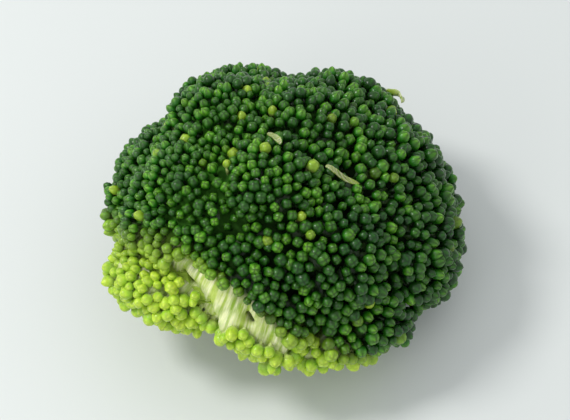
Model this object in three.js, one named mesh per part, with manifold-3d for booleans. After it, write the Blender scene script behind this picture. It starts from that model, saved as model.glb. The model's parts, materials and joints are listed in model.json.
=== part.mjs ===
// A cooked broccoli floret: a small domed head of green flower buds on a short cut stalk.
// It stands on the cut end of the stalk and leans over until the lowest buds touch the surface too.
// Millimetres and degrees, +Z up, origin at the centre of the box around the floret, on the surface it stands on.

import * as THREE from "three";
import { mergeVertices } from "three/addons/utils/BufferGeometryUtils.js";
import Module from "manifold-3d";

const wasm = await Module();
wasm.setup();

// ---- Crown: the dome that all the bud clusters make together, measured from its own centre

const CROWN_WIDTH = 60.5;
const CROWN_DEPTH = 54;
const DOME_HEIGHT = 23; // from the crown's centre up to the top of the dome
const UNDERSIDE_DEPTH = 12.5; // from the crown's centre down to its lowest buds
const CLUSTER_DEPTH = 8.5; // buds and bud stems, from the tips of the buds inwards

// ---- Bulges: where the whole crown grew out into free space, and one hollow where it was pressed in

const BULGES = [
  { azimuth: 207, polar: 111, reach: 4.6, spread: 19 },
  { azimuth: 276, polar: 102, reach: 3.3, spread: 15 },
  { azimuth: 42, polar: 64, reach: 2, spread: 38 },
  { azimuth: 165, polar: 87, reach: -3.4, spread: 22 },
];

// ---- Lobes: one for each bud cluster, set out on the golden-angle spiral that the buds grow in

const LOBE_COUNT = 15;
const GOLDEN_ANGLE = 180 * (3 - Math.sqrt(5));
const FIRST_LOBE_AZIMUTH = 96;
const FIRST_LOBE_SHARE = 0.35; // how far along its turn of the spiral the topmost lobe sits
const LOWEST_LOBE = 112; // angle from the crown's axis at the spiral's outer end
const LOBE_SWELL = 1.3; // how far the middle of a lobe stands out
const SWELL_SPREAD = 0.55; // share by which one lobe swells more than another
const CREASE_DEPTH = 1.9; // how far the dome drops in between two lobes
const CREASE_WIDTH = 2.2;

// ---- Underside: open around the stalk, and cut back higher on the side that grew in the shade

const UNDERSIDE_ANGLE = 118; // angle from the crown's axis where the buds stop
const SHADED_SIDE = 250; // azimuth of the side that grew against the next floret
const SHADED_RISE = 6; // how many degrees higher the buds stop on that side

// ---- Stalk and branches

const STALK_DIAMETER = 17;
const STALK_TOP = 5; // above the crown's centre
const STALK_NECK = 0.9; // share of the diameter left above the lowest branches
const FLUTE_COUNT = 5;
const FLUTE_DEPTH = 0.45;
const BRANCH_ROOT_RADIUS = 2.6;
const BRANCH_TIP_RADIUS = 3.7; // a branch widens where it forks under its cluster
const FORK_HEIGHT = -3.5; // below the crown's centre
const BRANCH_REACH = 4; // how far a branch's centre line runs on inside its cluster

// ---- Bracts: small pale leaf strips that lie on the crown

const BRACTS = [
  { azimuth: 52, polar: 62, turn: -50, length: 11, width: 2.6 },
  { azimuth: 300, polar: 22, turn: -35, length: 8, width: 1.8 },
  { azimuth: 205, polar: 20, turn: 5, length: 5, width: 1.6 },
];
const BRACT_THICKNESS = 0.8;

// ---- Pose

const LEAN = 17;
const LEAN_TOWARDS = 24; // azimuth

const GAP = 0.3; // between pieces that touch
const CROWN_DETAIL = 13;
const HOLLOW_DETAIL = 6;
const FAR = 200; // longer than anything here

const radians = THREE.MathUtils.degToRad;

function direction(azimuth, polar) {
  const [a, p] = [radians(azimuth), radians(polar)];
  return new THREE.Vector3(Math.sin(p) * Math.cos(a), Math.sin(p) * Math.sin(a), Math.cos(p));
}

const leaning = new THREE.Quaternion().setFromAxisAngle(direction(LEAN_TOWARDS + 90, 90), radians(LEAN));

// ---- Solids

function solidOf(geometry) {
  geometry.deleteAttribute("normal");
  geometry.deleteAttribute("uv");
  const merged = mergeVertices(geometry, 1e-4);
  const vertProperties = new Float32Array(merged.attributes.position.array);
  const triVerts = new Uint32Array(merged.index.array);
  return new wasm.Manifold(new wasm.Mesh({ numProp: 3, vertProperties, triVerts }));
}

function geometryOf(solid) {
  const { vertProperties, triVerts } = solid.getMesh();
  const geometry = new THREE.BufferGeometry();
  geometry.setAttribute("position", new THREE.BufferAttribute(vertProperties, 3));
  geometry.setIndex(new THREE.BufferAttribute(triVerts, 1));
  geometry.computeVertexNormals();
  return geometry;
}

// Moves every vertex of a geometry to the place that a rule gives for it.
function reshape(geometry, placeOf) {
  const position = geometry.attributes.position;
  const point = new THREE.Vector3();
  for (let i = 0; i < position.count; i++) {
    placeOf(point.fromBufferAttribute(position, i));
    position.setXYZ(i, point.x, point.y, point.z);
  }
  return geometry;
}

// All of space on the far side of a plane, as a box.
function beyondPlane(normal, distance) {
  const box = new THREE.BoxGeometry(FAR, FAR, FAR).translate(0, 0, FAR / 2 + distance);
  return solidOf(box.applyQuaternion(new THREE.Quaternion().setFromUnitVectors(new THREE.Vector3(0, 0, 1), normal)));
}

// ---- Crown shape

const lobes = Array.from({ length: LOBE_COUNT }, (_, k) => {
  const share = (k + FIRST_LOBE_SHARE) / LOBE_COUNT;
  const cosine = 1 - share * (1 - Math.cos(radians(LOWEST_LOBE)));
  const polar = THREE.MathUtils.radToDeg(Math.acos(cosine));
  const swell = LOBE_SWELL * (1 + SWELL_SPREAD * Math.sin(k * k));
  return { toMiddle: direction(FIRST_LOBE_AZIMUTH + k * GOLDEN_ANGLE, polar), swell };
});
const LOBE_HALF_ANGLE = Math.acos(1 - (1 - Math.cos(radians(LOWEST_LOBE))) / LOBE_COUNT);

// Distance from the crown's centre to its smooth outline, without lobes, along a unit vector.
function domeRadius(u) {
  const halfHeight = u.z > 0 ? DOME_HEIGHT : UNDERSIDE_DEPTH;
  const oval = 1 / Math.hypot(u.x / (CROWN_WIDTH / 2), u.y / (CROWN_DEPTH / 2), u.z / halfHeight);
  return BULGES.reduce((radius, { azimuth, polar, reach, spread }) => {
    const away = u.angleTo(direction(azimuth, polar)) / radians(spread);
    return radius + reach * Math.exp(-(away ** 2));
  }, oval);
}

// The same with its lobes swelling out and the creases between them.
function crownRadius(u) {
  const nearest = lobes
    .map((lobe) => ({ angle: u.angleTo(lobe.toMiddle), swell: lobe.swell }))
    .sort((a, b) => a.angle - b.angle);
  const dome = domeRadius(u);
  const toCrease = ((nearest[1].angle - nearest[0].angle) / 2) * dome;
  const bulge = nearest[0].swell * Math.max(0, 1 - (nearest[0].angle / LOBE_HALF_ANGLE) ** 2);
  return dome + bulge - CREASE_DEPTH * Math.exp(-((toCrease / CREASE_WIDTH) ** 2));
}

function hollowRadius(u) {
  return domeRadius(u) - CLUSTER_DEPTH;
}

// A closed ball whose surface is a given distance from the crown's centre in every direction.
function ballOf(radiusTowards, detail) {
  const ball = new THREE.IcosahedronGeometry(1, detail);
  return solidOf(reshape(ball, (p) => p.normalize().multiplyScalar(radiusTowards(p))));
}

// The space below the crown that its buds leave open, as a wide cone with its point at the crown's centre.
function openUnderside() {
  const halfAngle = radians(180 - UNDERSIDE_ANGLE);
  const cone = new THREE.ConeGeometry(FAR * Math.tan(halfAngle), FAR, 40).translate(0, -FAR / 2, 0);
  cone.rotateX(Math.PI / 2);
  const tilt = new THREE.Quaternion().setFromAxisAngle(direction(SHADED_SIDE + 90, 90), -radians(SHADED_RISE));
  return solidOf(cone.applyQuaternion(tilt));
}

const wholeCrown = ballOf(crownRadius, CROWN_DETAIL)
  .subtract(ballOf(hollowRadius, HOLLOW_DETAIL))
  .subtract(openUnderside());

// One bud cluster: the part of the crown that is nearer to its lobe than to any other.
function budCluster(k) {
  let cluster = crownAroundStalk;
  lobes.forEach((other, j) => {
    if (j === k) return;
    const across = other.toMiddle.clone().sub(lobes[k].toMiddle).normalize();
    cluster = cluster.subtract(beyondPlane(across, -GAP / 2));
  });
  return cluster;
}

// ---- Stalk

const lowestBud = (() => {
  const level = new THREE.Vector3();
  const { vertProperties } = wholeCrown.getMesh();
  let lowest = Infinity;
  for (let i = 0; i < vertProperties.length; i += 3) {
    level.fromArray(vertProperties, i).applyQuaternion(leaning);
    lowest = Math.min(lowest, level.z);
  }
  return lowest;
})();
const STALK_FOOT = lowestBud - STALK_DIAMETER / 2; // below the cut, which then trims it flat

// How far the stalk's centre line has bent away from the crown's axis at a height: upright at the cut.
function stalkBend(z) {
  const bend = (Math.tan(radians(LEAN)) * z * z) / (2 * Math.abs(lowestBud));
  return z < 0 ? direction(LEAN_TOWARDS, 90).multiplyScalar(bend) : new THREE.Vector3();
}

function stalkSolid(clearance = 0) {
  const half = STALK_DIAMETER / 2;
  const outline = new THREE.SplineCurve([
    new THREE.Vector2(half * 0.97, STALK_FOOT),
    new THREE.Vector2(half, lowestBud),
    new THREE.Vector2(half * 1.03, FORK_HEIGHT),
    new THREE.Vector2(half * STALK_NECK, 0),
    new THREE.Vector2(half * STALK_NECK * 0.55, STALK_TOP * 0.8),
  ]).getPoints(11);
  const profile = [
    new THREE.Vector2(0, STALK_FOOT),
    ...outline.map((p) => new THREE.Vector2(p.x + clearance, p.y)),
    new THREE.Vector2(0, STALK_TOP + clearance),
  ];
  const stalk = new THREE.LatheGeometry(profile, 30).rotateX(Math.PI / 2);
  reshape(stalk, (p) => {
    const flute = 1 - (FLUTE_DEPTH / half) * (0.5 - 0.5 * Math.cos(FLUTE_COUNT * Math.atan2(p.y, p.x)));
    p.x *= flute;
    p.y *= flute;
    p.add(stalkBend(p.z));
  });
  return solidOf(stalk);
}

const down = new THREE.Vector3(0, 0, -1);
const belowTheCut = beyondPlane(down.clone().applyQuaternion(leaning.clone().invert()), -lowestBud);

const stalkAndGap = stalkSolid(GAP);
const crownAroundStalk = wholeCrown.subtract(stalkAndGap);
const roomForBranches = ballOf((u) => hollowRadius(u) - GAP, HOLLOW_DETAIL);

// ---- Branches

// All the branches' centre lines start at one point in the stalk, and each ends in its own cluster.
const fork = stalkBend(FORK_HEIGHT).setZ(FORK_HEIGHT);

function centreLine(lobe) {
  const tip = lobe.toMiddle.clone().multiplyScalar(hollowRadius(lobe.toMiddle) + BRANCH_REACH);
  return tip.sub(fork);
}

// A branch keeps inside its own cone from the fork, so that it stays clear of the branches beside it.
function branchSolid(lobe) {
  const line = centreLine(lobe);
  const nearest = Math.min(...lobes.filter((l) => l !== lobe).map((l) => line.angleTo(centreLine(l))));
  const length = line.length();
  const profile = [new THREE.Vector2(0, 0)];
  for (let i = 1; i <= 6; i++) {
    const along = (length * i) / 6;
    const room = along * Math.sin(nearest / 2) - GAP / 2;
    const radius = THREE.MathUtils.lerp(BRANCH_ROOT_RADIUS, BRANCH_TIP_RADIUS, (i / 6) ** 2);
    profile.push(new THREE.Vector2(Math.min(room, radius), along));
  }
  profile.push(new THREE.Vector2(0, length));
  const cone = new THREE.LatheGeometry(profile, 14);
  cone.applyQuaternion(new THREE.Quaternion().setFromUnitVectors(new THREE.Vector3(0, 1, 0), line.normalize()));
  return solidOf(cone.translate(fork.x, fork.y, fork.z));
}

function branch(lobe) {
  return branchSolid(lobe).intersect(roomForBranches).subtract(stalkAndGap);
}

// ---- Bracts

// A leaf strip, pointed at both ends, that follows the crown's surface.
function bract({ azimuth, polar, turn, length, width }) {
  const middle = direction(azimuth, polar);
  const sideways = new THREE.Vector3(0, 0, 1).cross(middle).normalize();
  const along = sideways.applyAxisAngle(middle, radians(turn));
  const across = middle.clone().cross(along);
  const strip = new THREE.BoxGeometry(length, width, BRACT_THICKNESS, 10, 2, 1);
  reshape(strip, (p) => {
    const taper = 1 - 0.8 * Math.abs((2 * p.x) / length) ** 2;
    const height = GAP + 0.5 * BRACT_THICKNESS + p.z;
    const foot = middle.clone().multiplyScalar(domeRadius(middle));
    foot.addScaledVector(along, p.x).addScaledVector(across, p.y * taper).normalize();
    p.copy(foot.multiplyScalar(crownRadius(foot) + height));
  });
  return solidOf(strip);
}

// ---- Assembly

const budGreen = new THREE.MeshStandardMaterial({ color: 0x2c5522, roughness: 0.5, metalness: 0 });
const fleshGreen = new THREE.MeshStandardMaterial({ color: 0xb9c96a, roughness: 0.45, metalness: 0 });
const leafGreen = new THREE.MeshStandardMaterial({ color: 0xa9bf52, roughness: 0.5, metalness: 0 });

const floret = new THREE.Group();
floret.quaternion.copy(leaning);

function addPiece(name, solid, material) {
  const mesh = new THREE.Mesh(geometryOf(solid), material);
  mesh.name = name;
  floret.add(mesh);
}

const numbered = (name, k) => `${name}_${String(k + 1).padStart(2, "0")}`;

addPiece("stalk", stalkSolid().subtract(belowTheCut), fleshGreen);
lobes.forEach((lobe, k) => {
  addPiece(numbered("branch", k), branch(lobe), fleshGreen);
  addPiece(numbered("bud_cluster", k), budCluster(k), budGreen);
});
BRACTS.forEach((size, k) => addPiece(numbered("bract", k), bract(size), leafGreen));

const broccoli = new THREE.Group();
broccoli.add(floret);
broccoli.updateMatrixWorld(true);
const around = new THREE.Box3().setFromObject(broccoli, true);
const middle = around.getCenter(new THREE.Vector3());
floret.position.set(-middle.x, -middle.y, -around.min.z);

export default broccoli;
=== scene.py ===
# %% [markdown]
# # A cooked broccoli floret
#
# A floret is one small tree. A pale stalk forks, its branches fork again, and the last twigs end in little
# umbrellas of flower buds, each bud on its own thin stem. The buds push against one another and close up into
# one domed green crown. This lesson grows it in that order, inside the plain solids that already hold its
# shape and its place. Lengths are in metres, +Z is up, and the floret stands on the cut end of its stalk.

# %% Tools and the plain solids
import json
import math

import bmesh
import bpy
import numpy as np
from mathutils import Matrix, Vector
from mathutils.bvhtree import BVHTree
from mathutils.kdtree import KDTree

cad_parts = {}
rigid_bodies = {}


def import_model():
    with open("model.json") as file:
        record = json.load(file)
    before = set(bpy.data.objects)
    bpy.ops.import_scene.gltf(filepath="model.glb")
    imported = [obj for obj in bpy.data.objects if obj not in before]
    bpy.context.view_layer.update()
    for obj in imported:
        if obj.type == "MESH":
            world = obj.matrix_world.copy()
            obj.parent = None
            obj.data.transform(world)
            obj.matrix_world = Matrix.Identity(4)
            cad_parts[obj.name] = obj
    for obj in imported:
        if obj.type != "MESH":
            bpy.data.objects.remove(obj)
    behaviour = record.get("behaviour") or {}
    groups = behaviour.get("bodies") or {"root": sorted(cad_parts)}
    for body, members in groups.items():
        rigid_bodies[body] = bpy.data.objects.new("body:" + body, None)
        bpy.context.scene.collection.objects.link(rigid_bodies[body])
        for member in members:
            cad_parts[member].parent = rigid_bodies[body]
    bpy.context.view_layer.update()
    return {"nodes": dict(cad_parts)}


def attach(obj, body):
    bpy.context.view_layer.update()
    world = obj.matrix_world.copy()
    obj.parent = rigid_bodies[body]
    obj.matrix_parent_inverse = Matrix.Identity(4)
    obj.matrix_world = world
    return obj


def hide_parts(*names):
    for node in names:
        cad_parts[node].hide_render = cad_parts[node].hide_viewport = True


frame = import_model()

nodes = frame["nodes"]
cluster_names = sorted(name for name in nodes if name.startswith("bud_cluster"))
branch_names = sorted(name for name in nodes if name.startswith("branch"))
bract_names = sorted(name for name in nodes if name.startswith("bract"))
print(len(cluster_names), "clusters,", len(branch_names), "branches,", len(bract_names), "bracts")

# %% [markdown]
# ## Sizes
#
# Broccoli is cut for cooking before its flowers open, when each bud is a closed green bead 2 to 3 mm wide.
# About ten buds share one twig and make a small dome, the umbel. Cooking softens the stems, so the buds
# settle and stand at slightly different heights.

# %% Sizes
MM = 0.001
BUD_WIDTH = 2.05 * MM
BUD_HEIGHT = 2.35 * MM
BUD_STEM_LENGTH = 3.2 * MM
BUD_STEM_RADIUS = 0.4 * MM
BUD_PITCH = 1.88 * MM
BUD_UNEVENNESS = 0.45 * MM
BUD_WOBBLE = 0.16
SMALLEST_BUD, LARGEST_BUD = 0.8, 1.18
PALE_BUD_SHARE = 1.12
YOUNG_BUD_SHARE = 0.8
YELLOW_BUDS = 0.04

UMBEL_PITCH = 5.6 * MM
UMBEL_DEPTH = 7.2 * MM
UMBEL_SWELL = 1.1 * MM
UMBELS_ON_A_TWIG = 4

TWIG_RADIUS = 0.95 * MM
FORK_POWER = 2.45
STALK_RADIUS = 8.2 * MM
FLESH_GRAIN = 0.43 * MM

random = np.random.default_rng(7)


# %% [markdown]
# ## The crown's outline
#
# The plain clusters give the outline of the crown. Rays from all round towards the heart of the floret find
# it, a small bundle of them for each direction. Where too few of a bundle meet an outward face, the crown is
# open: that is the underside, around the stalk. The crown's axis runs from the foot to the middle of the
# three top clusters. The buds grow on this outline, half a bud below it.


# %% The crown's outline
RAY_LENGTH = 0.1
OUTWARD_FACING = 0.3
BUNDLE_SPREAD = 0.022
BUNDLE_RAYS = 6
ENOUGH_RAYS = 4


def points_of(obj):
    points = np.empty(len(obj.data.vertices) * 3)
    obj.data.vertices.foreach_get("co", points)
    return points.reshape(-1, 3)


def unit(vectors):
    return vectors / np.maximum(np.linalg.norm(vectors, axis=-1, keepdims=True), 1e-12)


cluster_middles = np.array([points_of(nodes[name]).mean(axis=0) for name in cluster_names])
stalk_points = points_of(nodes["stalk"])
foot = stalk_points[stalk_points[:, 2] < 0.1 * MM].mean(axis=0)
stalk_top = stalk_points[stalk_points[:, 2].argmax()]
crown_axis = unit(cluster_middles[:3].mean(axis=0) - foot)
heart = stalk_top - 5 * MM * crown_axis

corners, faces, face_cluster = [], [], []
for number, name in enumerate(cluster_names):
    start = len(corners)
    corners += [tuple(p) for p in points_of(nodes[name])]
    for polygon in nodes[name].data.polygons:
        faces.append([start + v for v in polygon.vertices])
        face_cluster.append(number)
outline = BVHTree.FromPolygons(corners, faces)


def look_at_crown(direction):
    """Where a ray from outside first meets the crown, on the way to its heart, and in which cluster."""
    start = Vector(heart + direction * RAY_LENGTH)
    point, normal, face, _ = outline.ray_cast(start, Vector(-direction), RAY_LENGTH)
    if point is None or normal.dot(Vector(direction)) < OUTWARD_FACING:
        return None
    return (point - Vector(heart)).length, face_cluster[face]


ball = bmesh.new()
bmesh.ops.create_icosphere(ball, subdivisions=6, radius=1)
directions = unit(np.array([v.co[:] for v in ball.verts]))
ball_faces = np.array([[v.index for v in f.verts] for f in ball.faces])
ball.free()

radius = np.zeros(len(directions))
cluster_of = np.full(len(directions), -1)
for i, direction in enumerate(directions):
    bundle = [direction, *unit(direction + random.normal(0, BUNDLE_SPREAD, (BUNDLE_RAYS, 3)))]
    seen = [s for s in map(look_at_crown, bundle) if s]
    if len(seen) >= ENOUGH_RAYS:
        radius[i] = np.mean([s[0] for s in seen])
        cluster_of[i] = seen[0][1]
on_crown = cluster_of >= 0
print(on_crown.sum(), "of", len(directions), "directions meet the crown; heart at", np.round(heart / MM, 1))


# %% [markdown]
# ## Umbels
#
# Each umbel is a dome of buds around one twig's end. The umbels are shared out over the crown about 6 mm
# apart, the way real ones crowd until they touch. A bud grows straight away from the end of its twig, so the
# buds in one umbel fan out, and a shallow furrow is left between umbels. Before that, the outline's dips are
# softened over the top of the crown and deepened low down, where real clusters part from one another.


# %% Umbels
CLOSEST_PITCH = 0.79
SMOOTHING_ROUNDS = 12


def surface_normals(points, triangles):
    a, b, c = (points[triangles[:, k]] for k in range(3))
    face_normals = np.cross(b - a, c - a)
    normals = np.zeros_like(points)
    for k in range(3):
        np.add.at(normals, triangles[:, k], face_normals)
    return unit(normals)


def nearest(points, others):
    """For each point, the number of the nearest of the others, and how far away that is."""
    tree = KDTree(len(others))
    for k, other in enumerate(others):
        tree.insert(other, k)
    tree.balance()
    found = [tree.find(point) for point in points]
    return np.array([f[1] for f in found]), np.array([f[2] for f in found])


def share_out(places, pitches, rounds):
    """Picks places about one pitch apart, then moves each to the middle of the patch nearest to it."""
    free, picked = np.ones(len(places), bool), []
    for i in random.permutation(len(places)):
        if free[i]:
            picked.append(i)
            free &= ((places - places[i]) ** 2).sum(axis=1) > (CLOSEST_PITCH * pitches[i]) ** 2
    middles = places[picked]
    for _ in range(rounds):
        own = nearest(places, middles)[0]
        counts = np.maximum(np.bincount(own, minlength=len(middles)), 1)[:, None]
        sums = [np.bincount(own, places[:, k], len(middles)) for k in range(3)]
        middles = np.stack(sums, axis=1) / counts
    return nearest(middles, places)[0]


crown_faces = ball_faces[on_crown[ball_faces].all(axis=1)]
crown_edges = np.vstack([crown_faces[:, [0, 1]], crown_faces[:, [1, 2]], crown_faces[:, [2, 0]]])
crown_edges = np.vstack([crown_edges, crown_edges[:, ::-1]])
blended = radius.copy()
for _ in range(SMOOTHING_ROUNDS):
    around = np.bincount(crown_edges[:, 0], blended[crown_edges[:, 1]], len(radius))
    meeting = np.bincount(crown_edges[:, 0], minlength=len(radius))
    blended = np.where(meeting > 0, (blended + around) / (1 + meeting), blended)
angle_down = np.degrees(np.arccos(np.clip(directions @ crown_axis, -1, 1)))
parting = 0.4 + 1.2 * np.clip((angle_down - 60) / 25, 0, 1)
radius = np.where(on_crown, blended + (radius - blended) * parting, radius)
outline_points = heart + directions * radius[:, None]
outline_normals = surface_normals(outline_points, crown_faces)
outline_points = outline_points - outline_normals * BUD_WIDTH * 0.5

# %% [markdown]
# ## Sun, shade and bare flesh
#
# Buds that grew in full light are dark green. Those low on the side that was pressed against the next floret
# stayed pale and yellow-green, and so did the lowest buds all round, next to the stalk. One number for each
# place on the crown, from 0 in the sun to 1 in the shade, colours buds and flesh alike. Between the dark buds
# and the pale ones, a strip of the crown was rubbed bare, and its stems show side by side. A second number,
# from 0 to 1, says where. Both follow the angle around the floret and the angle down from the crown's axis,
# in degrees.


# %% Sun, shade and bare flesh
SHADED_SIDE = 240
BARE_FROM, BARE_TO = 224, 286
NOTCH_AT = 250


def around_and_down(points):
    away = unit(points - heart)
    around = np.degrees(np.arctan2(away[:, 1], away[:, 0])) % 360
    return around, np.degrees(np.arccos(np.clip(away @ crown_axis, -1, 1)))


def shade_at(points):
    around, down = around_and_down(points)
    reach = np.where(around < SHADED_SIDE, 52, 82)
    start = 112 - 48 * np.exp(-(((around - SHADED_SIDE) / reach) ** 2))
    blur = 9 + 16 * np.clip((BARE_FROM + 12 - around) / 20, 0, 1)
    return np.clip((down - start + 0.6 * (blur - 9)) / blur, 0, 1)


def bare_edges(around):
    """How far down from the crown's axis the bare strip starts and ends, at each angle around."""
    share = np.clip((around - BARE_FROM) / (BARE_TO - BARE_FROM), 0, 1)
    middle = 75 + 12 * np.clip((around - 256) / 26, 0, 1.2) ** 2 + 0.8 * np.sin(around * 0.75)
    half = 5.8 * np.sqrt(np.sin(math.pi * share)) * (1 + 0.18 * np.sin(around * 0.47))
    notch = 13 * np.exp(-(((around - NOTCH_AT) / 6.5) ** 2))
    return middle - half, middle + half + notch, half > 0


def bare_at(points):
    around, down = around_and_down(points)
    top, bottom, there = bare_edges(around)
    return np.clip(1 + np.minimum(down - top, bottom - down) / 1.5, 0, 1) * there


# %% [markdown]
# ## Places on the crown
#
# Fifty thousand places are strewn by chance over the outline, evenly by area. The umbels and the buds are
# both picked from them. Places on the bare strip are dropped, so nothing grows there. An umbel's foot lies
# under its top, in a direction between square to the surface and straight to the heart.

# %% Places on the crown
PLACE_COUNT = 50000
a, b, c = (outline_points[crown_faces[:, k]] for k in range(3))
areas = np.linalg.norm(np.cross(b - a, c - a), axis=1) / 2
chosen = random.choice(len(crown_faces), PLACE_COUNT, p=areas / areas.sum())
weights = random.dirichlet((1, 1, 1), len(chosen))[:, :, None]
places = (outline_points[crown_faces[chosen]] * weights).sum(axis=1)
place_normals = unit((outline_normals[crown_faces[chosen]] * weights).sum(axis=1))
place_cluster = cluster_of[crown_faces[chosen, 0]]
covered = bare_at(places) < 0.5
places, place_normals, place_cluster = places[covered], place_normals[covered], place_cluster[covered]

umbels = share_out(places[::5], np.full(len(places[::5]), UMBEL_PITCH), 5) * 5
umbel_tops, umbel_cluster = places[umbels], place_cluster[umbels]
growth = unit(place_normals[umbels] + 0.7 * unit(umbel_tops - heart))
umbel_feet = umbel_tops - growth * UMBEL_DEPTH
print(round(areas.sum() / MM**2), "square mm of crown,", len(umbels), "umbels")

# %% [markdown]
# ## A place for each bud
#
# Buds on the younger side of the crown, towards the upper left, are a little smaller, paler and closer
# together, and each umbel has a size of its own too. That paleness is partly their own and partly painted
# light, since the key light comes from that side. The buds are shared out like the umbels, then raised into
# domes, one over each twig.

# %% A place for each bud
# The side where buds are younger and smaller. The key light on the left falls on it too, so the colours made
# lighter here are partly painted light.
younger_and_lit_side = unit(np.array([-0.8, 0.45, 0.4]))


def youth_and_painted_light_at(points):
    return np.clip(0.4 + 0.8 * unit(points - heart) @ younger_and_lit_side, 0, 1)


umbel_size = random.uniform(0.93, 1.08, len(umbels))
place_size = umbel_size[nearest(places, umbel_tops)[0]] * (1 - (1 - YOUNG_BUD_SHARE) * youth_and_painted_light_at(places))
spot = share_out(places, BUD_PITCH * place_size, 5)
spot_size = place_size[spot]
spot_points, spot_cluster = places[spot], place_cluster[spot]
own_umbel, from_top = nearest(spot_points, umbel_tops)
dome = np.clip(1 - (from_top / (0.62 * UMBEL_PITCH)) ** 2, -0.6, 1) - 0.5
spot_points = spot_points + place_normals[spot] * UMBEL_SWELL * dome[:, None]
outward = unit(unit(spot_points - umbel_feet[own_umbel]) + 0.5 * place_normals[spot])
spot_points += random.normal(0, 0.07 * MM, spot_points.shape)
yellowing = 0.75 * np.clip(1 - random.uniform(0, 1, len(spot)) / YELLOW_BUDS, 0, 1)
spot_shade = np.maximum(shade_at(spot_points), yellowing)
# painted light: half of each umbel's tone grows lighter towards the upper left, partly younger buds and
# partly painted light from that side
umbel_tone_and_painted_light = 0.5 * random.uniform(0, 1, len(umbels))[own_umbel] + 0.5 * youth_and_painted_light_at(spot_points)
print(len(spot), "buds,", round(2 * math.sqrt(areas.sum() / len(spot) / math.pi) / MM, 2), "mm across each")

# %% [markdown]
# ## Flesh: stalk, branches and twigs
#
# The stalk splits into branches, one for each cluster, the branches into twigs and the twigs into the feet of
# the umbels. At a fork the thin parts together are about as thick as the part that bears them, so each
# radius follows from the number of umbels above it. The tubes overlap at the forks, and a voxel skin
# draws one closed surface over them all, which rounds the forks like real ones.


# %% The tubes
LOWEST_BRANCH = 112
STALK_SHAPE = [1, 1, 1, 1, 1, 1.01, 1.03, 1.05, 1.04, 1.0, 0.93, 0.82, 0.66, 0.4]
UMBEL_STEM_SHAPE = [1.15, 1.05, 1, 1, 1.02, 1.1, 1.3, 1.7, 2.35, 2.2, 1.2]
CUSHION_RISE = [0.16, 0.36, 0.55, 0.68, 0.74]


class Tubes:
    """Gathers closed tubes of changing thickness in one mesh."""

    def __init__(self):
        self.points, self.faces = [], []

    def add(self, path, radii, sides=12, flutes=0.0):
        start = len(self.points)
        path = np.array(path)
        along = unit(np.gradient(path, axis=0))
        side = unit(np.cross(along[0], [0.31, 0.57, 0.76]))
        turn = np.linspace(0, 2 * math.pi, sides, endpoint=False)
        for centre, forward, thick in zip(path, along, radii):
            side = unit(side - forward * (side @ forward))
            up = np.cross(forward, side)
            wavy = thick * (1 - flutes * (0.5 - 0.5 * np.cos(5 * turn)))
            ring = centre + wavy[:, None] * (np.outer(np.cos(turn), side) + np.outer(np.sin(turn), up))
            self.points += ring.tolist()
        for ring in range(len(path) - 1):
            for k in range(sides):
                a, b = start + ring * sides + k, start + ring * sides + (k + 1) % sides
                self.faces.append((a, b, b + sides, a + sides))
        last = start + (len(path) - 1) * sides
        self.faces.append(tuple(range(start + sides - 1, start - 1, -1)))
        self.faces.append(tuple(range(last, last + sides)))


def curve(start, bend, end, steps):
    t = np.linspace(0, 1, steps)[:, None]
    return (1 - t) ** 2 * start + 2 * t * (1 - t) * bend + t**2 * end


def group(points, count):
    """Splits points into neighbourly groups and returns each point's group."""
    centres = points[:: max(1, len(points) // count)][:count].copy()
    for _ in range(12):
        own = np.linalg.norm(points[:, None] - centres[None], axis=2).argmin(axis=1)
        for k in range(len(centres)):
            if (own == k).any():
                centres[k] = points[own == k].mean(axis=0)
    return own


def thickness(umbels):
    return TWIG_RADIUS * umbels ** (1 / FORK_POWER)


def grow_stalk():
    """The stalk bows: its bend lies up from the foot, and as far to the right and to the back."""
    up = np.array([0.0, 0.0, 1.0])
    bend = foot + 0.55 * (heart[2] - foot[2])
    path = curve(foot - 2 * MM * up, bend, heart + 4 * MM * crown_axis, len(STALK_SHAPE))
    tubes.add(path, STALK_RADIUS * np.array(STALK_SHAPE), sides=40, flutes=0.07)


def grow_branch(feet):
    """A branch from near the heart towards its umbels' feet. Says where it bends and where it forks."""
    middle = feet.mean(axis=0)
    lowness = math.acos(np.clip(unit(middle - heart) @ crown_axis, -1, 1)) / math.radians(LOWEST_BRANCH)
    root = heart + crown_axis * (3 - 8.5 * min(lowness, 1)) * MM
    fork = root + 0.66 * (middle - root) - crown_axis * 1.2 * MM
    outwards = unit(middle - heart - crown_axis * ((middle - heart) @ crown_axis))
    bend = root + 0.3 * (fork - root) - crown_axis * 2.0 * MM + outwards * 1.5 * MM
    radii = thickness(len(feet)) * np.linspace(1.25, 1.0, 9)
    tubes.add(curve(root, bend, fork, 9), radii, sides=18, flutes=0.06)
    return bend, fork


def grow_umbel_stem(fork, twig_fork, end, top):
    """The last stem, which swells to a cushion under its dome. In the shade the cushion is fuller."""
    bend = twig_fork + 0.5 * (end - twig_fork) + 0.12 * (twig_fork - fork)
    full = shade_at(top[None])[0]
    rise = np.array(CUSHION_RISE) * (1 + 0.14 * full)
    path = np.vstack([curve(twig_fork, bend, end, 6), end + rise[:, None] * (top - end)])
    swell = np.array(UMBEL_STEM_SHAPE)
    swell[7:] *= 1 + 0.25 * full
    tubes.add(path, TWIG_RADIUS * swell, sides=12)


def grow_twig(bend, fork, feet, tops):
    """A twig from the branch's fork to a fork of its own, and from there a stem for each umbel."""
    twig_fork = fork + 0.6 * (feet.mean(axis=0) - fork)
    leave = fork + 0.35 * (twig_fork - fork) + 0.2 * (fork - bend)
    radii = thickness(len(feet)) * np.linspace(1.15, 1.0, 7)
    tubes.add(curve(fork, leave, twig_fork, 7), radii, sides=14)
    for end, top in zip(feet, tops):
        grow_umbel_stem(fork, twig_fork, end, top)


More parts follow.
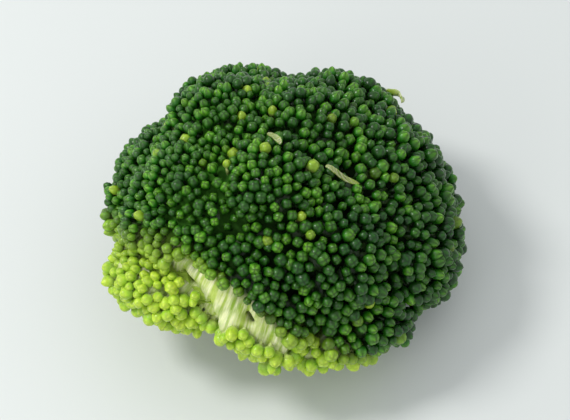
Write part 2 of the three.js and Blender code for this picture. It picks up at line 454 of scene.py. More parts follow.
tubes = Tubes()
grow_stalk()
for number in range(len(cluster_names)):
    mine = umbel_cluster == number
    feet, tops = umbel_feet[mine], umbel_tops[mine]
    bend, fork = grow_branch(feet)
    own = group(feet, max(1, round(len(feet) / UMBELS_ON_A_TWIG)))
    for k in np.unique(own):
        grow_twig(bend, fork, feet[own == k], tops[own == k])
print(len(tubes.points), "points in the tubes")


# %% [markdown]
# ## The stems that lie bare
#
# Where the buds were rubbed off, a row of stems crosses the strip from top to bottom. Each dives under the
# buds at both its ends. Its route is a short list, of how far along it has come and how deep it lies, and
# chance leans, sinks and thickens it a little.

# %% The stems that lie bare
BARE_STEM_STEP = 4.6
BARE_STEM_ROUTE = [
    # how far across the strip, how deep in mm, how thick
    (-0.7, 6.5, 1.1), (-0.35, 3.4, 1.1), (0.0, 2.3, 1.05), (0.33, 1.9, 0.95),
    (0.66, 1.9, 0.9), (1.0, 2.5, 1), (1.3, 3.8, 1.1), (1.6, 7.0, 1),
]
crown_around, crown_down = around_and_down(outline_points)


def inside_crown(around, down, depth):
    """The point at these two angles, this deep under the buds."""
    apart = (crown_around - around) ** 2 + (crown_down - down) ** 2 + 1e6 * ~on_crown
    nearest_place = apart.argmin()
    return outline_points[nearest_place] - outline_normals[nearest_place] * depth * MM


bare_stems = np.arange(BARE_FROM + 2, BARE_TO - 1, BARE_STEM_STEP)
for around in bare_stems + random.uniform(-0.9, 0.9, len(bare_stems)):
    top, bottom, _ = bare_edges(around)
    lean, sunk = random.uniform(-3, 5), random.uniform(-0.3, 0.6)
    path = np.array([inside_crown(around + lean * share, top + share * (bottom - top), depth + sunk)
                     for share, depth, _ in BARE_STEM_ROUTE])
    path[1:-1] = (path[:-2] + 2 * path[1:-1] + path[2:]) / 4
    thick = random.uniform(0.8, 1.3) * MM
    tubes.add(path, thick * np.array([shape for _, _, shape in BARE_STEM_ROUTE]), sides=14)
print(len(bare_stems), "bare stems")


# %% [markdown]
# ## The skin over the tubes
#
# A voxel skin closes over all the tubes at once, as one surface of small even faces. Smoothing takes the
# steps out of it and rounds the forks, and thinning out leaves three faces of five. A knife along the floor
# gives the stalk its flat cut end.

# %% The skin over the tubes
def new_object(name, points, polygons):
    mesh = bpy.data.meshes.new(name)
    mesh.from_pydata([tuple(p) for p in points], [], [tuple(f) for f in polygons])
    obj = bpy.data.objects.new(name, mesh)
    bpy.context.scene.collection.objects.link(obj)
    return obj


def bake_modifiers(obj, name):
    """The object's mesh as its modifiers leave it, as a new plain object. The old one is removed."""
    depsgraph = bpy.context.evaluated_depsgraph_get()
    result = bpy.data.meshes.new_from_object(
        obj.evaluated_get(depsgraph), preserve_all_data_layers=True, depsgraph=depsgraph
    )
    bpy.data.objects.remove(obj)
    result.name = name
    plain = bpy.data.objects.new(name, result)
    bpy.context.scene.collection.objects.link(plain)
    return plain


flesh = new_object("flesh tubes", tubes.points, tubes.faces)
skinning = flesh.modifiers.new("skin", "REMESH")
skinning.mode = "VOXEL"
skinning.voxel_size = FLESH_GRAIN
skinning.adaptivity = 0
smoothing = flesh.modifiers.new("smooth", "SMOOTH")
smoothing.factor, smoothing.iterations = 0.6, 4
thinning = flesh.modifiers.new("thin out", "DECIMATE")
thinning.ratio = 0.6
flesh = bake_modifiers(flesh, "flesh")

cut = bmesh.new()
cut.from_mesh(flesh.data)
everything = cut.verts[:] + cut.edges[:] + cut.faces[:]
edge = bmesh.ops.bisect_plane(cut, geom=everything, plane_co=(0, 0, 0.02 * MM), plane_no=(0, 0, -1),
                              clear_outer=True)["geom_cut"]
bmesh.ops.holes_fill(cut, edges=[e for e in edge if isinstance(e, bmesh.types.BMEdge)])
cut.to_mesh(flesh.data)
cut.free()
flesh.data.shade_smooth()
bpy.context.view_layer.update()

# %% [markdown]
# ## One bud
#
# A bud is an egg of four green sepals that close over its tip. Their edges leave four shallow seams that meet
# in a small cross on top. Three buds are made, from slim to round, and the crown repeats them. Each is turned
# and scaled a little, so no two look alike. A number along each bud, from its stem to its tip, lets the
# colour change with height.


# %% One bud
BUD_SHAPES = [
    # name, how wide, how tall, how pointed
    ("slim", 0.94, 1.06, 1.0),
    ("plump", 1.0, 1.0, 0.5),
    ("round", 1.05, 0.94, 0.0),
]


def band(start, sides):
    """The faces between one ring of points and the next."""
    return [(start + k, start + (k + 1) % sides, start + (k + 1) % sides + sides, start + k + sides)
            for k in range(sides)]


def make_bud(name, width, height, tip):
    sides, stem_sides = 8, 4
    turn = np.linspace(0, 2 * math.pi, sides, endpoint=False)
    seam = np.where(np.arange(sides) % 2 == 0, 1.0, 0.0)
    rings = [(0.5, -0.45), (0.93, -0.24), (1.0, 0.04), (0.8, 0.29 + 0.03 * tip), (0.38, 0.43 + 0.06 * tip)]
    points, along, seams, polygons = [], [], [], []
    for wide, high in rings:
        radii = width / 2 * wide * (1 - (0.05 + 0.22 * max(0.0, high)) * seam)
        points += [(r * math.cos(a), r * math.sin(a), high * height) for r, a in zip(radii, turn)]
        along += [0.55 + 0.4 * (high + 0.47)] * sides
        seams += list(seam * (0.3 + max(0.0, high)))
    for ring in range(len(rings) - 1):
        polygons += band(ring * sides, sides)
    points.append((0, 0, (0.46 + 0.1 * tip) * height))
    along.append(1.0)
    seams.append(0.9)
    top = len(rings) * sides
    polygons += [(top - sides + k, top - sides + (k + 1) % sides, top) for k in range(sides)]
    polygons.append(tuple(range(sides - 1, -1, -1)))
    start = len(points)
    for thick, high, where in [(0.85, -0.47 - BUD_STEM_LENGTH / height, 0.0), (1.25, -0.4, 0.5)]:
        for a in np.linspace(0, 2 * math.pi, stem_sides, endpoint=False):
            r = BUD_STEM_RADIUS * thick
            points.append((r * math.cos(a), r * math.sin(a), high * height))
            along.append(where)
            seams.append(0.0)
    polygons += band(start, stem_sides)
    polygons.append(tuple(range(start + stem_sides, start + 2 * stem_sides)))
    polygons.append(tuple(range(start + stem_sides - 1, start - 1, -1)))
    bud = new_object(name, points, polygons)
    for label, values in (("along", along), ("seam", seams)):
        bud.data.attributes.new(label, "FLOAT", "POINT").data.foreach_set("value", values)
    bud.data.shade_smooth()
    return bud


bud_kinds = bpy.data.collections.new("bud kinds")
bpy.context.scene.collection.children.link(bud_kinds)
for name, wide, tall, tip in BUD_SHAPES:
    bud = make_bud(name + " bud", BUD_WIDTH * wide, BUD_HEIGHT * tall, tip)
    bpy.context.scene.collection.objects.unlink(bud)
    bud_kinds.objects.link(bud)
    print(name, "bud:", len(bud.data.polygons), "faces")

# %% [markdown]
# ## Tools for the finishes
#
# A finish is a node tree built in the script. One small function adds a node, sets it up and links it, and
# another turns a colour as painters write it into the linear numbers that the renderer mixes. Patterns are
# sized in millimetres and fixed to the object, so they look the same from every side.


# %% Tools for the finishes
def colour(hex_text):
    """A colour as painters write it, in the linear numbers that the renderer mixes."""
    parts = [int(hex_text[i : i + 2], 16) / 255 for i in (0, 2, 4)]
    return (*[p / 12.92 if p <= 0.04045 else ((p + 0.055) / 1.055) ** 2.4 for p in parts], 1.0)


def add_node(tree, kind, inputs=None, **settings):
    """Adds a node, sets it up, and gives each named input a value or the output that feeds it."""
    node = tree.nodes.new(kind)
    for name, value in settings.items():
        setattr(node, name, value)
    for name, value in (inputs or {}).items():
        if isinstance(value, bpy.types.NodeSocket):
            tree.links.new(value, node.inputs[name])
        else:
            node.inputs[name].default_value = value
    return node


def new_material(name, **surface_values):
    """A material whose surface is set by the sockets' names, with _ for each space."""
    material = bpy.data.materials.new(name)
    material.use_nodes = True
    surface = material.node_tree.nodes["Principled BSDF"]
    for socket, value in surface_values.items():
        surface.inputs[socket.replace("_", " ")].default_value = value
    return material, material.node_tree, surface


# %% [markdown]
# ## Finish: waxy bud green
#
# The sepals round a bud are small leaves with a waxy skin. Boiling drives the air out of them, which makes
# the green deep and clear, and leaves them wet, so each bead has a small sharp highlight. Light goes a little
# way in. Over the body's green lie three layers. The tip is paler, partly because the sepals are thin there
# and partly as painted light on the bud's top, so the sides look shaded. The seams between the sepals are
# dark, which is painted shade in the creases. The stem is painted dark in the sun, as the shade down between
# the buds. Each is one layer in the table below, with a dull and a bright green for buds in the sun and two
# more for the pale ones. Only a few beads are bright, which gives the crown its sparkle.


# %% Finish: waxy bud green
BUD_LAYERS = [
    # follows, from, to, strength from, to, in the sun: dull and bright, pale ones: dull and bright
    ("along", 0.0, 1.0, 1.0, 1.0, "052c02", "2e8c14", "88be16", "c4e034"),
    # painted light: the top of each bead is lighter, partly its thin sepals and partly as if lit from above
    ("along", 0.76, 0.98, 0.0, 0.85, "246e12", "9ad63c", "dcea5c", "dcea5c"),
    # painted shade: the seams between the sepals are darker, as shade in the creases
    ("seam", 0.0, 0.8, 0.0, 0.8, "051a03", "051a03", "94b430", "94b430"),
    # painted shade: in the sun the stem down between the buds is dark; in the shade it keeps its own pale
    # colour
    ("along", 0.5, 0.8, 1.0, 0.0, "1a3810", "1a3810", "c8d884", "c8d884"),
]


def make_bud_green():
    material, tree, surface = new_material(
        "waxy bud green", Roughness=0.4, IOR=1.42, Specular_IOR_Level=0.25, Coat_Weight=0.5,
        Coat_Roughness=0.09,
        Coat_IOR=1.4, Subsurface_Weight=0.35, Subsurface_Scale=0.6 * MM, Subsurface_Radius=(0.7, 1.0, 0.3))
    # 'tone' is chance, with some painted light towards the upper left; 'shade' is how shaded the bud grew
    numbers = {name: add_node(tree, "ShaderNodeAttribute", attribute_name=name).outputs["Fac"]
               for name in ("tone", "along", "seam", "shade")}
    bead = colour("052c02")
    for follows, low, high, at_low, at_high, *greens in BUD_LAYERS:
        dull, bright, pale_dull, pale_bright = map(colour, greens)
        sunny = add_node(tree, "ShaderNodeMix", {0: numbers["tone"], 6: dull, 7: bright}, data_type="RGBA")
        pale = add_node(tree, "ShaderNodeMix", {0: numbers["tone"], 6: pale_dull, 7: pale_bright},
                        data_type="RGBA")
        layer = add_node(tree, "ShaderNodeMix",
                         {0: numbers["shade"], 6: sunny.outputs[2], 7: pale.outputs[2]},
                         data_type="RGBA")
        cover = add_node(tree, "ShaderNodeMapRange",
                         {0: numbers[follows], 1: low, 2: high, 3: at_low, 4: at_high})
        bead = add_node(tree, "ShaderNodeMix", {0: cover.outputs[0], 6: bead, 7: layer.outputs[2]},
                        data_type="RGBA").outputs[2]
    where = add_node(tree, "ShaderNodeTexCoord").outputs["Object"]
    spots = add_node(tree, "ShaderNodeTexNoise", {"Vector": where, "Scale": 1 / (0.5 * MM), "Detail": 2.0})
    mottle = add_node(tree, "ShaderNodeMapRange", {0: spots.outputs[0], 1: 0.3, 2: 0.7, 3: 0.82, 4: 1.12})
    mottled = add_node(tree, "ShaderNodeMix", {0: 1.0, 6: bead, 7: mottle.outputs[0]},
                       data_type="RGBA", blend_type="MULTIPLY")
    tree.links.new(mottled.outputs[2], surface.inputs["Base Color"])
    pores = add_node(tree, "ShaderNodeTexNoise", {"Vector": where, "Scale": 1 / (0.35 * MM), "Detail": 3.0})
    bump = add_node(tree, "ShaderNodeBump",
                    {"Height": pores.outputs[0], "Strength": 0.35, "Distance": 0.12 * MM})
    tree.links.new(bump.outputs[0], surface.inputs["Normal"])
    return material


bud_green = make_bud_green()

# %% [markdown]
# ## Finish: the stem bed, in painted shade
#
# Under the buds the thin stems stand so close that almost no light comes back from between them. That shade
# is painted into this finish: what is seen through the gaps is a rough, dull, nearly black green. It is
# painted lighter towards the upper left, where the gaps catch more light. In the shade it is pale
# yellow-green, the stems' own colour.


# %% Finish: the stem bed, in painted shade
def make_matted_stems_in_painted_shade():
    material, tree, surface = new_material("matted stems in painted shade", Roughness=0.9, Specular_IOR_Level=0.1)
    where = add_node(tree, "ShaderNodeTexCoord").outputs["Object"]
    tangle = add_node(tree, "ShaderNodeTexNoise", {"Vector": where, "Scale": 1 / (0.8 * MM), "Detail": 3.0})
    amount = add_node(tree, "ShaderNodeMapRange", {0: tangle.outputs[0], 1: 0.3, 2: 0.7})
    # painted shade: the dark down between the buds, drawn nearly black green with a tangle of lighter patches
    dark = add_node(tree, "ShaderNodeMix", {0: amount.outputs[0], 6: colour("060d04"), 7: colour("16280d")},
                    data_type="RGBA")
    # painted light: lighter towards the upper left, where the gaps catch more light
    upper_left_light = add_node(tree, "ShaderNodeAttribute", attribute_name="tone")
    green = add_node(tree, "ShaderNodeMix",
                     {0: upper_left_light.outputs["Fac"], 6: dark.outputs[2], 7: colour("3c7420")},
                     data_type="RGBA")
    shade = add_node(tree, "ShaderNodeAttribute", attribute_name="shade")
    pale = add_node(tree, "ShaderNodeMix",
                    {0: shade.outputs["Fac"], 6: green.outputs[2], 7: colour("a2bc48")},
                    data_type="RGBA")
    tree.links.new(pale.outputs[2], surface.inputs["Base Color"])
    return material


matted_stems_in_painted_shade = make_matted_stems_in_painted_shade()

# %% [markdown]
# ## Finish: pale stem flesh
#
# Stalk and branches are watery flesh with fibres that run from the crown down to the cut. Cooked, it turns
# half clear: light goes 1 or 2 mm in, so it glows. The rind is yellow-green in soft patches about 3 mm wide.
# The fibres are cream streaks about 0.7 mm wide, which follow a vector on the flesh and not the object's
# axes. They are strong on twigs and bare stems and faint on the smooth stalk. Where dark buds stand over it
# the flesh is dark green, partly its own green and partly painted shade under the buds.


# %% Finish: pale stem flesh
def make_flesh():
    material, tree, surface = new_material(
        "pale stem flesh", Roughness=0.38, IOR=1.4, Coat_Weight=0.2, Coat_Roughness=0.2,
        Subsurface_Weight=0.5, Subsurface_Scale=1.5 * MM, Subsurface_Radius=(0.9, 1.0, 0.4))
    where = add_node(tree, "ShaderNodeTexCoord").outputs["Object"]
    wide = add_node(tree, "ShaderNodeTexNoise", {"Vector": where, "Scale": 1 / (3.0 * MM), "Detail": 4.0})
    patches = add_node(tree, "ShaderNodeMapRange", {0: wide.outputs[0], 1: 0.3, 2: 0.7}).outputs[0]
    along = add_node(tree, "ShaderNodeAttribute", attribute_name="fibre").outputs["Vector"]
    fibres = add_node(tree, "ShaderNodeTexNoise", {"Vector": along, "Scale": 1 / (0.7 * MM), "Detail": 3.0})
    stringy = add_node(tree, "ShaderNodeAttribute", attribute_name="stringy").outputs["Fac"]
    streaks = add_node(tree, "ShaderNodeMapRange", {0: fibres.outputs[0], 1: 0.4, 2: 0.68, 4: stringy})
    rind = add_node(tree, "ShaderNodeMix", {0: patches, 6: colour("88a828"), 7: colour("b8ca5c")},
                    data_type="RGBA")
    pale = add_node(tree, "ShaderNodeMix", {0: streaks.outputs[0], 6: rind.outputs[2], 7: colour("f2f1c4")},
                    data_type="RGBA")
    # dark green for flesh under the buds, partly its own colour and partly painted shade
    dark = add_node(tree, "ShaderNodeMix", {0: patches, 6: colour("1c3a12"), 7: colour("3c5c24")},
                    data_type="RGBA")
    green_and_painted_shade = add_node(tree, "ShaderNodeAttribute", attribute_name="green")
    body = add_node(tree, "ShaderNodeMix",
                    {0: green_and_painted_shade.outputs["Fac"], 6: pale.outputs[2], 7: dark.outputs[2]},
                    data_type="RGBA")
    tree.links.new(body.outputs[2], surface.inputs["Base Color"])
    grain = add_node(tree, "ShaderNodeTexNoise", {"Vector": where, "Scale": 1 / (0.8 * MM), "Detail": 4.0})
    rough = add_node(tree, "ShaderNodeMath", {0: streaks.outputs[0], 1: 0.4, 2: grain.outputs[0]},
                     operation="MULTIPLY_ADD")
    bump = add_node(tree, "ShaderNodeBump",
                    {"Height": rough.outputs[0], "Strength": 0.6, "Distance": 0.25 * MM})
    tree.links.new(bump.outputs[0], surface.inputs["Normal"])
    return material


pale_flesh = make_flesh()

# %% [markdown]
# ## The numbers that a spot carries
#
# Geometry Nodes read what they need from the points they work on. So each bud's spot is a point of one mesh,
# and carries its cluster's number, the way its bud faces, how shaded it is, its umbel's tone and its
# ripeness, which is how large the bud has grown.


# %% The numbers that a spot carries
def set_number(mesh, name, values, kind="FLOAT"):
    """Gives each point of the mesh its own number, or vector, under a name."""
    layer = mesh.attributes.new(name, kind, "POINT")
    layer.data.foreach_set("vector" if kind == "FLOAT_VECTOR" else "value", np.ravel(values))


ripeness = spot_size * (1 - (1 - PALE_BUD_SHARE) * spot_shade) * (1.03 - 0.1 * from_top / UMBEL_PITCH)
spots = new_object("bud spots", spot_points, [])
set_number(spots.data, "cluster", spot_cluster.astype(np.int32), "INT")
set_number(spots.data, "outward", outward, "FLOAT_VECTOR")
set_number(spots.data, "shade", spot_shade)
set_number(spots.data, "umbel tone", umbel_tone_and_painted_light)
set_number(spots.data, "ripeness", ripeness)

# %% [markdown]
# ## The tree that sets out the buds
#
# One node tree serves every cluster. It keeps that cluster's spots, raises each a little by chance, puts one
# of the three buds there, facing its own way, wobbled, turned and scaled by chance, and gives it a tone of
# its own. The chance numbers have fixed seeds. The tree ends in real geometry with its finish set.

# %% The tree that sets out the buds
tree = bpy.data.node_groups.new("set out buds", "GeometryNodeTree")
tree.is_modifier = True
tree.interface.new_socket("Spots", in_out="INPUT", socket_type="NodeSocketGeometry")
for label, kind in [("Bud kinds", "Collection"), ("Cluster", "Int"), ("Unevenness", "Float"),
                    ("Wobble", "Vector"), ("Smallest", "Float"), ("Largest", "Float"),
                    ("Finish", "Material")]:
    tree.interface.new_socket(label, in_out="INPUT", socket_type="NodeSocket" + kind)
tree.interface.new_socket("Buds", in_out="OUTPUT", socket_type="NodeSocketGeometry")
given = add_node(tree, "NodeGroupInput").outputs
kept = {name: add_node(tree, "GeometryNodeInputNamedAttribute", {"Name": name},
                       data_type=kind).outputs["Attribute"]
        for name, kind in [("cluster", "INT"), ("outward", "FLOAT_VECTOR"), ("umbel tone", "FLOAT"),
                           ("ripeness", "FLOAT")]}
chance = {what: add_node(tree, "FunctionNodeRandomValue", {2: low, 3: high, "Seed": seed}).outputs[1]
          for what, low, high, seed in [("lift", -1, 1, 3), ("spin", 0, 2 * math.pi, 6), ("size", 0, 1, 8),
                                        ("tone", 0, 1, 10)]}

other = add_node(tree, "FunctionNodeCompare", {2: kept["cluster"], 3: given["Cluster"]},
                 data_type="INT", operation="NOT_EQUAL")
mine = add_node(tree, "GeometryNodeDeleteGeometry",
                {"Geometry": given["Spots"], "Selection": other.outputs[0]})
lift = add_node(tree, "ShaderNodeMath", {0: chance["lift"], 1: given["Unevenness"]}, operation="MULTIPLY")
move = add_node(tree, "ShaderNodeVectorMath", {0: kept["outward"], 3: lift.outputs[0]}, operation="SCALE")
raised = add_node(tree, "GeometryNodeSetPosition", {"Geometry": mine.outputs[0], "Offset": move.outputs[0]})

opposite = add_node(tree, "ShaderNodeVectorMath", {0: given["Wobble"], 3: -1.0}, operation="SCALE")
aside = add_node(tree, "FunctionNodeRandomValue", {0: opposite.outputs[0], 1: given["Wobble"], "Seed": 5},
                 data_type="FLOAT_VECTOR")
way = add_node(tree, "ShaderNodeVectorMath", {0: kept["outward"], 1: aside.outputs[0]}, operation="ADD")
facing = add_node(tree, "FunctionNodeAlignRotationToVector", {"Vector": way.outputs[0]}, axis="Z")
spin = add_node(tree, "FunctionNodeAxisAngleToRotation", {"Axis": (0, 0, 1), "Angle": chance["spin"]})
turned = add_node(tree, "FunctionNodeRotateRotation",
                  {"Rotation": facing.outputs[0], "Rotate By": spin.outputs[0]},
                  rotation_space="LOCAL")
own_size = add_node(tree, "ShaderNodeMapRange",
                    {0: chance["size"], 3: given["Smallest"], 4: given["Largest"]})
size = add_node(tree, "ShaderNodeMath", {0: own_size.outputs[0], 1: kept["ripeness"]}, operation="MULTIPLY")

kinds = add_node(tree, "GeometryNodeCollectionInfo",
                 {"Collection": given["Bud kinds"], "Separate Children": True, "Reset Children": True})
pick = add_node(tree, "FunctionNodeRandomValue", {4: 0, 5: 2, "Seed": 9}, data_type="INT")
buds = add_node(tree, "GeometryNodeInstanceOnPoints",
                {"Points": raised.outputs[0], "Instance": kinds.outputs[0], "Pick Instance": True,
                 "Instance Index": pick.outputs[2], "Rotation": turned.outputs[0], "Scale": size.outputs[0]})
# each bud's own chance, mixed with its umbel's tone, which carries some painted light
rarely_bright = add_node(tree, "ShaderNodeMath", {0: chance["tone"], 1: 2.6}, operation="POWER")
own_tone = add_node(tree, "ShaderNodeMix", {0: 0.8, 2: kept["umbel tone"], 3: rarely_bright.outputs[0]})
toned = add_node(tree, "GeometryNodeStoreNamedAttribute",
                 {"Geometry": buds.outputs[0], "Name": "tone", "Value": own_tone.outputs[0]},
                 domain="INSTANCE")
order = add_node(tree, "GeometryNodeInputIndex")
counted = add_node(tree, "GeometryNodeStoreNamedAttribute",
                   {"Geometry": toned.outputs[0], "Name": "bud", "Value": order.outputs[0]},
                   domain="INSTANCE", data_type="INT")
real = add_node(tree, "GeometryNodeRealizeInstances", {"Geometry": counted.outputs[0]})
finished = add_node(tree, "GeometryNodeSetMaterial",
                    {"Geometry": real.outputs[0], "Material": given["Finish"]})
add_node(tree, "NodeGroupOutput", {"Buds": finished.outputs[0]})
print(len(tree.nodes), "nodes set out the buds")

# %% [markdown]
# ## The bed under the buds
#
# Under the buds lies a bed, a thin closed shell of stems matted together, which keeps light from shining
# through the gaps between them. Its colour is painted shade and stands for the dark down between the buds. It
# leaves out the bare strip, but runs on for 5 degrees under each of the strip's ends. A few rays slipped
# between two clusters and met neither, so the bed fills each such gap from what lies around it.

# %% The bed under the buds
BED_RUNS_ON = 5
BED_DEPTH = 2.4
YOUNG_BED_RISE = 0.7
SHADED_BED_RISE = 0.2
SURROUNDED = 0.8

neighbours = np.vstack([ball_faces[:, [0, 1]], ball_faces[:, [1, 2]], ball_faces[:, [2, 0]]])
met = np.bincount(neighbours[:, 0], on_crown[neighbours[:, 1]]) / np.bincount(neighbours[:, 0])
slipped = ~on_crown & (met > SURROUNDED)
for i in np.flatnonzero(slipped):
    beside = neighbours[neighbours[:, 0] == i, 1]
    beside = beside[on_crown[beside]]
    outline_points[i] = outline_points[beside].mean(axis=0)
    outline_normals[i] = unit(outline_normals[beside].mean(axis=0))
    cluster_of[i] = cluster_of[beside[0]]
bed_faces = ball_faces[(on_crown | slipped)[ball_faces].all(axis=1)]
print(slipped.sum(), "gaps between clusters are closed in the bed")


def make_bed(cluster):
    """A closed shell of matted stems, a millimetre thick, under one cluster's buds."""
    mine = bed_faces[cluster_of[bed_faces[:, 0]] == cluster]
    middles = outline_points[mine].mean(axis=1)
    around = around_and_down(middles)[0]
    strip_end = (around < BARE_FROM + BED_RUNS_ON) | (around > BARE_TO - BED_RUNS_ON)
    mine = mine[(bare_at(middles) == 0) | strip_end]
    used, mine = np.unique(mine, return_inverse=True)
    mine = mine.reshape(-1, 3)
    over, outwards = outline_points[used], outline_normals[used]
    depth = BED_DEPTH - YOUNG_BED_RISE * youth_and_painted_light_at(over) - SHADED_BED_RISE * shade_at(over)
    under = outwards * depth[:, None] * MM
    layers = [over - under, over - under - outwards * MM]
    edges = {tuple(e) for f in mine.tolist() for e in zip(f, f[1:] + f[:1])}
    rim = [(b, a, a + len(used), b + len(used)) for a, b in sorted(edges) if (b, a) not in edges]
    return new_object("bed", np.vstack(layers), mine.tolist() + (mine[:, ::-1] + len(used)).tolist() + rim)


# %% [markdown]
# ## The buds, cluster by cluster
#
# Each cluster's buds become one plain mesh, joined with its bed. The lowest buds would reach through the
# surface that the floret stands on, so each is lifted by as much as it needs.

# %% The buds, cluster by cluster
FLOOR_GAP = 0.05 * MM


def set_inputs(modifier, **values):
    """Gives the tree's inputs their values, by name, with _ for each space."""
    for item in modifier.node_group.interface.items_tree:
        key = item.name.replace(" ", "_")
        if getattr(item, "in_out", "") == "INPUT" and key in values:
            modifier[item.identifier] = values[key]


def lift_off_floor(piece):
    """Lifts each bud that reaches through the floor. Says how many buds the piece has."""
    numbers = piece.data.attributes["bud"].data
    bud_number = np.empty(len(numbers), np.int32)
    numbers.foreach_get("value", bud_number)
    points = points_of(piece)
    lowest = np.full(bud_number.max() + 1, np.inf)
    np.minimum.at(lowest, bud_number, points[:, 2])
    points[:, 2] += np.maximum(FLOOR_GAP - lowest, 0)[bud_number]
    piece.data.vertices.foreach_set("co", points.ravel())
    piece.data.update()
    return len(lowest)


total = 0
bud_pieces = []
for number, name in enumerate(cluster_names):
    carrier = bpy.data.objects.new(name + " spots", spots.data)
    bpy.context.scene.collection.objects.link(carrier)
    modifier = carrier.modifiers.new("buds", "NODES")
    modifier.node_group = tree
    set_inputs(modifier, Bud_kinds=bud_kinds, Cluster=number, Unevenness=BUD_UNEVENNESS,
               Wobble=(BUD_WOBBLE, BUD_WOBBLE, BUD_WOBBLE), Smallest=SMALLEST_BUD, Largest=LARGEST_BUD,
               Finish=bud_green)
    piece = bake_modifiers(carrier, name.replace("bud_cluster", "buds"))
    total += lift_off_floor(piece)
    bed = make_bed(number)
    if len(bed.data.polygons):
        # painted light: the bed is lighter towards the upper left, where the gaps catch more light
        set_number(bed.data, "tone", youth_and_painted_light_at(points_of(bed)) ** 2)
        set_number(bed.data, "shade", shade_at(points_of(bed)))
        bed.data.materials.append(matted_stems_in_painted_shade)
        with bpy.context.temp_override(active_object=piece, selected_editable_objects=[piece, bed]):
            bpy.ops.object.join()
    else:
        bpy.data.objects.remove(bed)
    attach(piece, "root")
    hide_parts(name)
    bud_pieces.append(piece)
for leftover in list(bud_kinds.objects) + [spots]:
    bpy.data.objects.remove(leftover)
bpy.data.collections.remove(bud_kinds)
print(total, "buds;", sum(len(p.data.polygons) for p in bud_pieces), "faces")

# %% [markdown]
# ## The numbers that the flesh carries
#
# The flesh takes its colours from two things. One number says how green it is. The flesh is dark where sunlit
# buds stand close over it, which is partly its own green and partly painted shade under the buds, and pale
# where it lies bare or in the shade. One vector says where each point is in a space in which the fibres lie
# along one axis, so that a plain noise drawn out along it gives streaks from crown to stalk.


# %% The numbers that the flesh carries
def run_fibres(mesh, points):
    """Gives each point its place in the space where the fibres lie along the crown's axis."""
    away = unit(points - heart)
    flat = unit(away - np.outer(away @ crown_axis, crown_axis))
    down = np.arccos(np.clip(away @ crown_axis, -1, 1))
    set_number(mesh, "fibre", flat * 25 * MM + np.outer(down * 3 * MM, crown_axis), "FLOAT_VECTOR")


flesh_points = points_of(flesh)
flesh_shade = shade_at(flesh_points)
below_buds = nearest(flesh_points, spot_points)[1]
near_buds = np.clip(1 - (below_buds - 4 * MM) / (4 * MM), 0, 1)
# painted shade: flesh close under sunlit buds is drawn dark green, partly its own green and partly the shade
# under the buds
set_number(flesh.data, "green", near_buds * (1 - flesh_shade) * (1 - bare_at(flesh_points)))
set_number(flesh.data, "stringy", np.clip((flesh_points[:, 2] - 9 * MM) / (5 * MM), 0.2, 1))
run_fibres(flesh.data, flesh_points)
flesh.data.materials.clear()
flesh.data.materials.append(pale_flesh)
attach(flesh, "root")
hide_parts("stalk", *branch_names)
print(round(float(near_buds.mean()), 2), "of the flesh lies close under buds")

# %% [markdown]
# ## Bracts
#
# Here and there a narrow leaf strip, a bract, has grown up between the clusters and lies over the buds. It is
# a third of a millimetre thick, hollow like a channel along its middle, and paler than the dark buds.


# %% Bracts
BRACT_THICKNESS = 0.35 * MM
BRACT_GREEN = 0.38


def make_bract(name, plain):
    points = points_of(plain)
    middle = points.mean(axis=0)
    longest = np.linalg.svd(points - middle)[2][0]
    order = (points - middle) @ longest
    steps, across = 16, 7
    stops = np.linspace(order.min(), order.max(), steps)
    path = np.array([points[np.abs(order - stop) < 1.2 * MM].mean(axis=0) for stop in stops])
    path = path - unit(path - heart) * 0.5 * MM
    along = unit(np.gradient(path, axis=0))
    upward = unit(path - heart)
    sideways = np.cross(upward, along)
    span = np.ptp((points - middle) @ unit(np.cross(longest, middle - heart)))
    rings = []
    for i in range(steps):
        t = i / (steps - 1)
        half = span / 2 * 0.55 * (0.12 + math.sin(math.pi * t) ** 0.7) * (1 + 0.12 * math.sin(9 * t))
        u = np.linspace(-1, 1, across)
        sag = (0.28 * u**2 * half * 2 + 0.25 * MM * math.sin(6 * t))[:, None] * upward[i]
        top = path[i] + np.outer(u * half, sideways[i]) + sag
        rings.append(np.vstack([top, (top - upward[i] * BRACT_THICKNESS)[::-1]]))
    count = 2 * across
    polygons = [face for r in range(steps - 1) for face in band(r * count, count)]
    polygons += [tuple(range(count - 1, -1, -1)), tuple(range((steps - 1) * count, steps * count))]
    strip = new_object(name, np.vstack(rings), polygons)
    rounding = strip.modifiers.new("round", "SUBSURF")
    rounding.levels = rounding.render_levels = 1
    strip = bake_modifiers(strip, name)
    strip.data.shade_smooth()
    set_number(strip.data, "green", np.full(len(strip.data.vertices), BRACT_GREEN))
    set_number(strip.data, "stringy", np.ones(len(strip.data.vertices)))
    run_fibres(strip.data, points_of(strip))
    strip.data.materials.append(pale_flesh)
    return strip


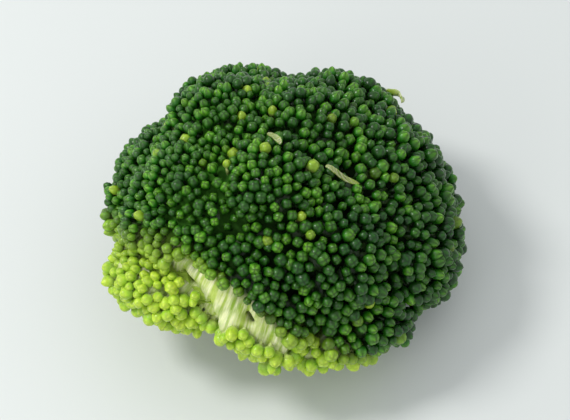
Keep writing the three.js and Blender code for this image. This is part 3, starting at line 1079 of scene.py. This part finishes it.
for name in bract_names:
    strip = make_bract(name.replace("bract", "leaf_strip"), nodes[name])
    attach(strip, "root")
    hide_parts(name)

# %% [markdown]
# ## Floor, light and camera
#
# The floret stands on a plain pale floor, with a pale surround and two soft lamps: a key light from the left
# and a weak fill from the front left. The camera looks down on it at 55 degrees.

# %% Floor, light and camera
CAMERA_LENS = 135
CAMERA_DISTANCE = 0.3526
CAMERA_ELEVATION = math.radians(55)
CAMERA_TARGET = Vector((0, 0, 0.019))

floor = new_object("floor", [(-3, -3, 0), (3, -3, 0), (3, 3, 0), (-3, 3, 0)], [(0, 1, 2, 3)])
floor.data.materials.append(new_material("pale floor", Base_Color=colour("d6d9d6"), Roughness=0.5)[0])

world = bpy.data.worlds.new("studio")
world.use_nodes = True
world.node_tree.nodes["Background"].inputs[0].default_value = colour("eef2f5")
world.node_tree.nodes["Background"].inputs[1].default_value = 0.85
bpy.context.scene.world = world


def soft_light(name, place, size, power):
    """A round lamp that faces the origin."""
    lamp = bpy.data.lights.new(name, "AREA")
    lamp.shape, lamp.size, lamp.energy = "DISK", size, power
    light = bpy.data.objects.new(name, lamp)
    light.location = place
    light.rotation_euler = (-Vector(place)).to_track_quat("-Z", "Y").to_euler()
    bpy.context.scene.collection.objects.link(light)


soft_light("key", (-0.32, 0.02, 0.46), 0.15, 1.6)
soft_light("fill", (-0.3, -0.4, 0.3), 0.25, 0.4)

camera = bpy.data.objects.new("camera", bpy.data.cameras.new("camera"))
bpy.context.scene.collection.objects.link(camera)
camera.data.lens = CAMERA_LENS
backwards = Vector((0, -math.cos(CAMERA_ELEVATION), math.sin(CAMERA_ELEVATION)))
camera.location = CAMERA_TARGET + CAMERA_DISTANCE * backwards
camera.rotation_euler = (math.pi / 2 - CAMERA_ELEVATION, 0, 0)
camera.data.clip_start = 0.01
bpy.context.scene.camera = camera
bpy.context.scene.view_settings.view_transform = "Standard"

# %% [markdown]
# ## Finish
#
# At the end the scene is brought up to date.

# %% Finish
bpy.context.view_layer.update()
